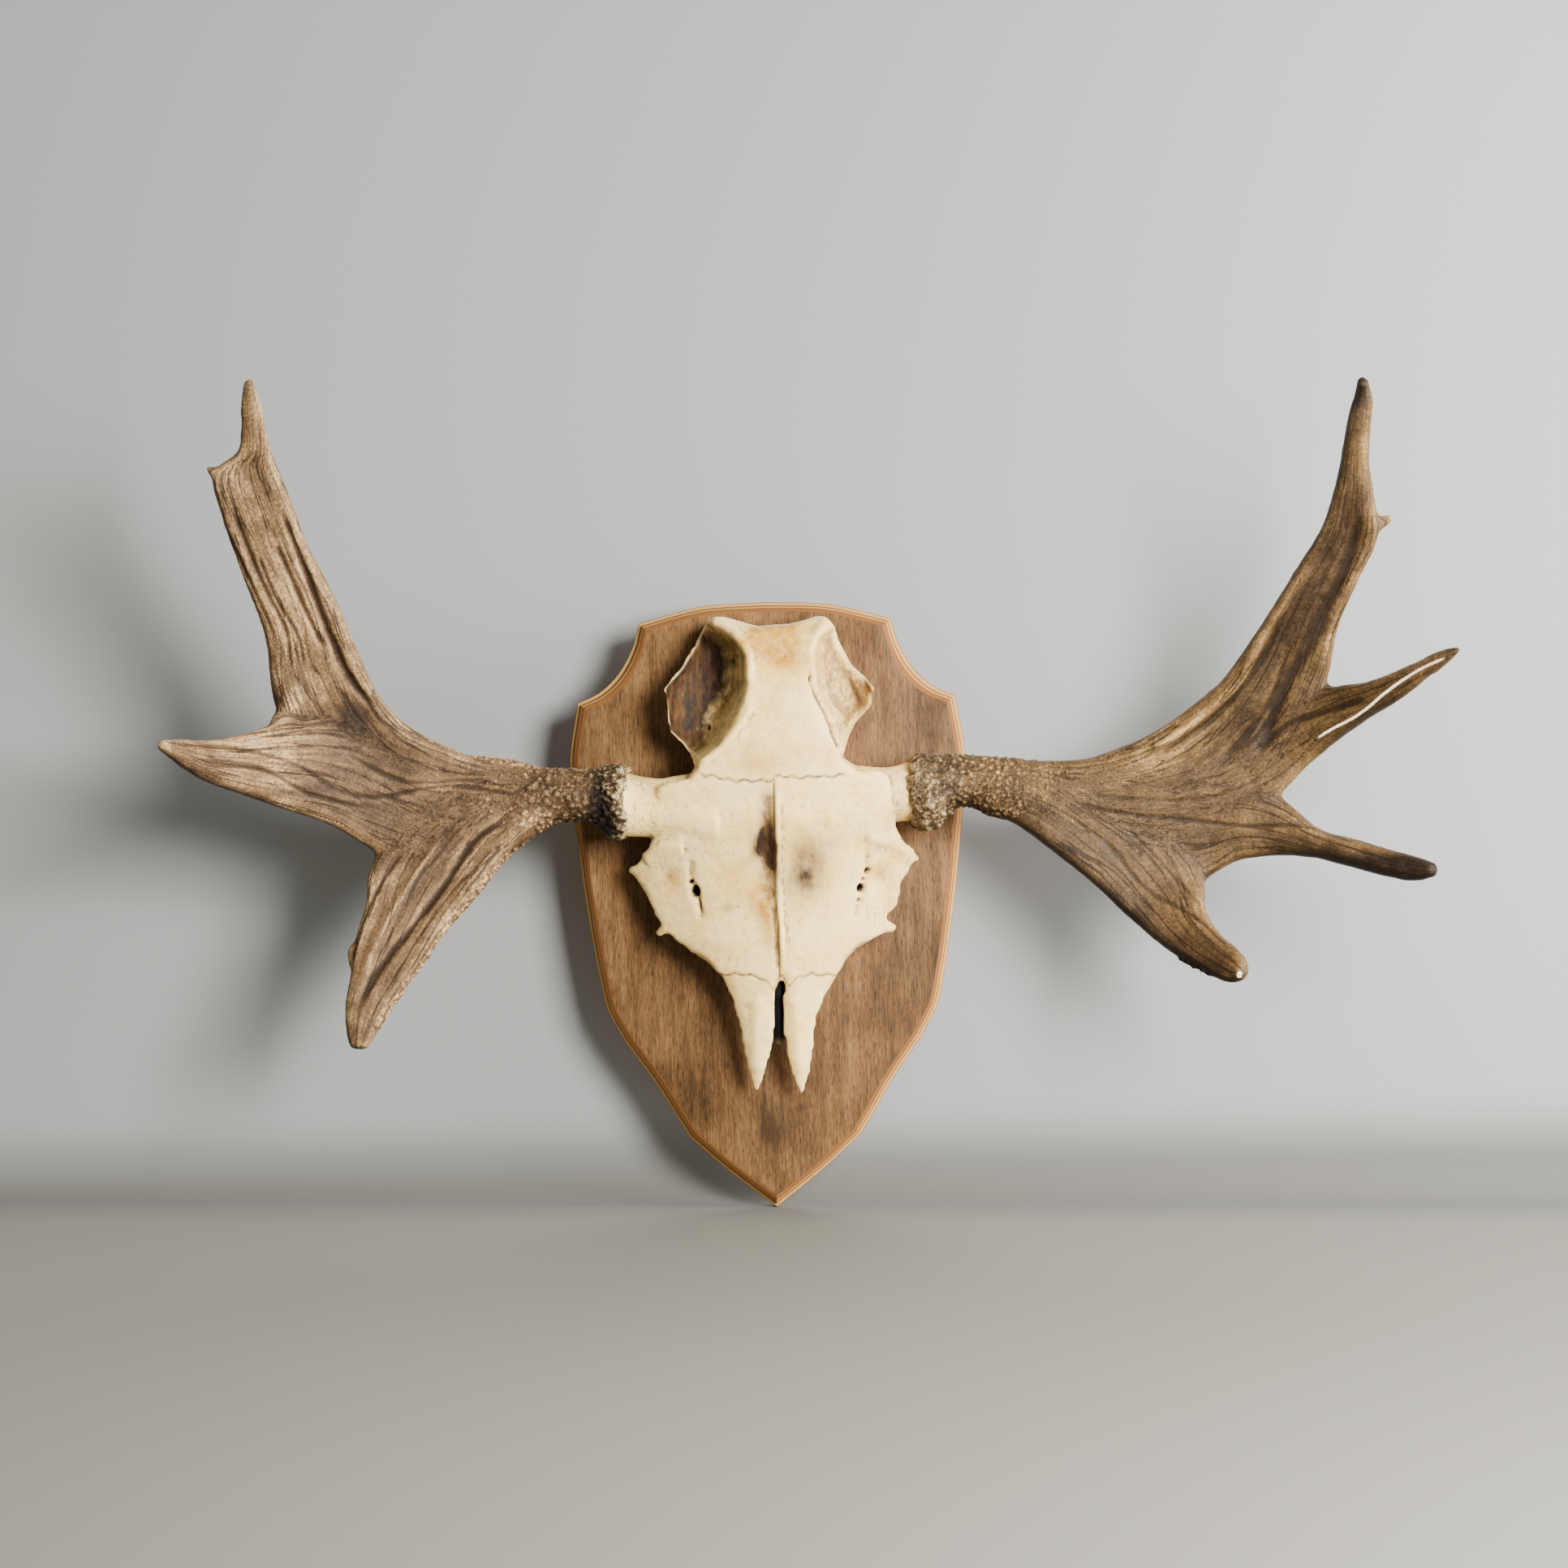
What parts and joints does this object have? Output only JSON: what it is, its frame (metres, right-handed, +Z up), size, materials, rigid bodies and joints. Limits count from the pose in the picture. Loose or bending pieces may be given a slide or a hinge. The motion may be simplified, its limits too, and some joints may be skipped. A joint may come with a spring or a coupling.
{
  "type": "moose antler trophy",
  "caption": "Palmate moose antlers on their cut-down skull cap, screwed to a shield-shaped plywood board that hangs on a wall.",
  "frame": {"origin": "on the board's flat back face, on the board's axis of symmetry and at its mid-height", "axes": "+Z up, +X to the right of a person facing the trophy, +Y out of the board's back face into the wall; the trophy looks along -Y"},
  "size_m": [0.8373, 0.2049, 0.5624],
  "materials": {
    "plywood": "brown veneered plywood, satin",
    "bone": "dry cream bone, matt",
    "antler": "brown grooved antler, matt",
    "steel": "zinc-plated steel"
  },
  "bodies": {
    "root": {"shield_board": "plywood", "hanger_plate": "steel", "hanger_screw_upper": "steel", "hanger_screw_lower": "steel", "skull_screw_top": "steel", "skull_screw_left": "steel", "skull_screw_right": "steel", "braincase": "bone", "frontal_bone_left": "bone", "frontal_bone_right": "bone", "nasal_bone_left": "bone", "nasal_bone_right": "bone", "antler_left_beam": "antler", "antler_left_palm": "antler", "antler_left_upper_blade": "antler", "antler_left_outer_tine": "antler", "antler_left_brow_blade": "antler", "antler_right_beam": "antler", "antler_right_palm": "antler", "antler_right_upper_blade": "antler", "antler_right_upper_tine": "antler", "antler_right_lower_tine": "antler", "antler_right_brow_blade": "antler"}
  },
  "joints": []
}
